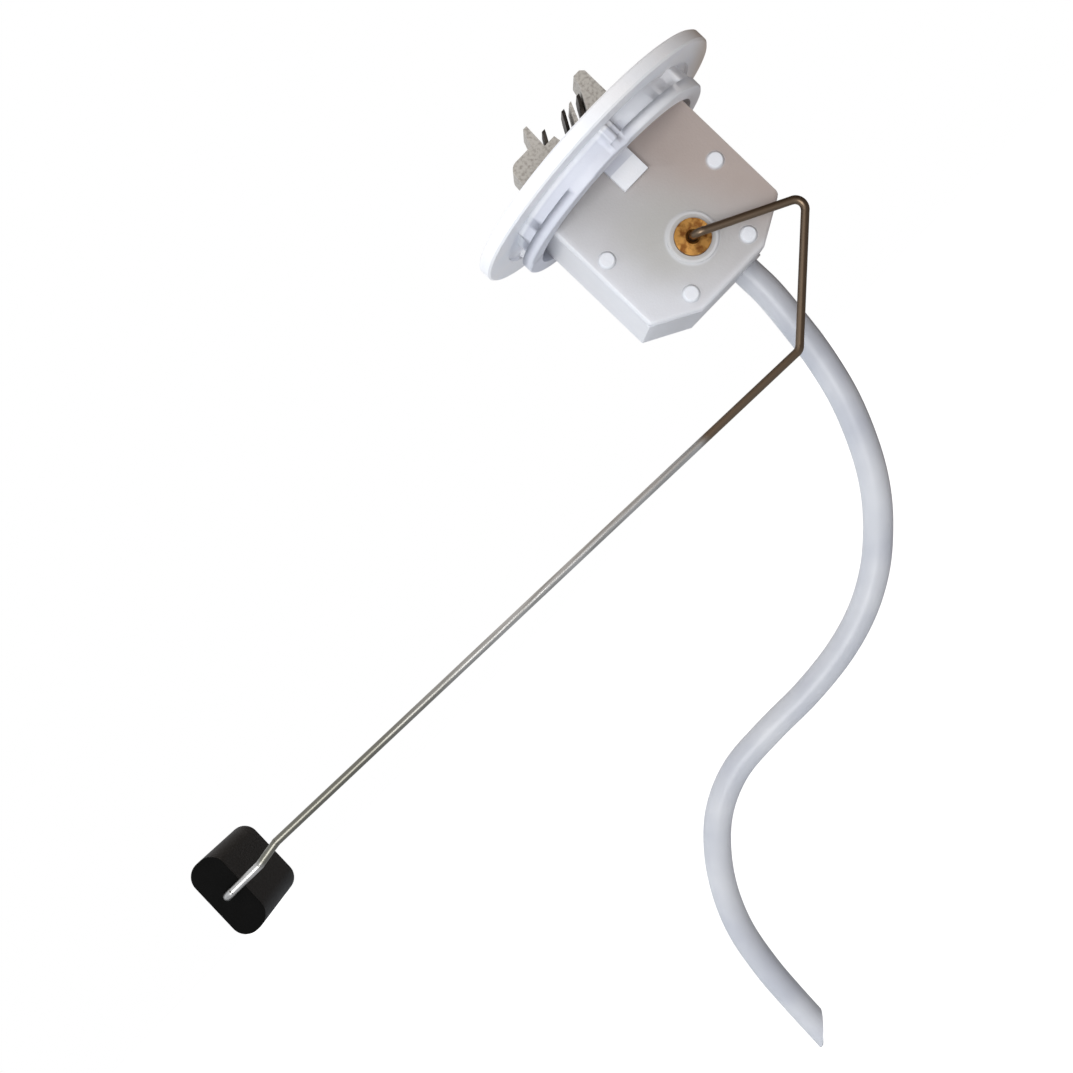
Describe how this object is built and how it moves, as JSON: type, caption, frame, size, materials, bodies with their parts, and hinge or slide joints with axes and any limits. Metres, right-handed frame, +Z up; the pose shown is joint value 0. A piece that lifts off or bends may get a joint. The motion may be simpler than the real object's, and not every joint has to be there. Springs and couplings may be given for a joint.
{
  "type": "fuel level sender",
  "caption": "Tank level sender with a round bayonet flange, terminal block, moulded body, float on a swinging wire arm and a curved pickup hose.",
  "frame": {"origin": "centre of the flange's sealing face, on the plate's underside", "axes": "+Z up out of the tank along the flange's axis, -Y towards the front with the bush and the arm, -X towards the float at rest"},
  "size_m": [0.2392, 0.106, 0.2395],
  "materials": {
    "white_nylon": "moulded, semi-gloss",
    "terminal_plastic": "matt moulded",
    "terminal_metal": "tarnished stamped strip",
    "milky_nylon": "translucent moulded",
    "bush_brass": "turned",
    "spring_metal": "bright stamped",
    "card_board": "matt fired",
    "track_film": "printed thick film",
    "track_silver": "printed silver film",
    "seal_rubber": "smooth",
    "hose_nylon": "extruded, satin",
    "arm_wire": "drawn wire",
    "float_foam": "closed-cell foam, matt"
  },
  "bodies": {
    "body": {"flange": "white_nylon", "terminal_block": "terminal_plastic", "warning_terminal": "terminal_metal", "signal_terminal": "terminal_metal", "ground_terminal": "terminal_metal", "housing": "milky_nylon", "front_cover": "milky_nylon", "bush": "bush_brass", "thrust_washer": "spring_metal", "resistor_card": "card_board", "resistor_track": "track_film", "collector_track": "track_silver", "warning_track": "track_silver", "card_eyelets": "bush_brass", "fuel_o_ring": "seal_rubber", "pickup_hose": "hose_nylon"},
    "arm": {"float_arm": "arm_wire", "wiper_hub": "terminal_plastic", "wiper_blade": "spring_metal", "wiper_contacts": "bush_brass", "hub_clip": "spring_metal", "float_clip": "spring_metal"},
    "float": {"float": "float_foam"}
  },
  "joints": [
    {"name": "arm_swing", "type": "hinge", "parent": "body", "child": "arm", "pos_m": [0, 0, -0.0314], "axis": [0, 1, 0], "range_deg": [-45, 13]},
    {"name": "float_turn", "type": "hinge", "parent": "arm", "child": "float", "pos_m": [-0.1943, 0, -0.0614], "axis": [0, 1, 0], "continuous": true}
  ]
}
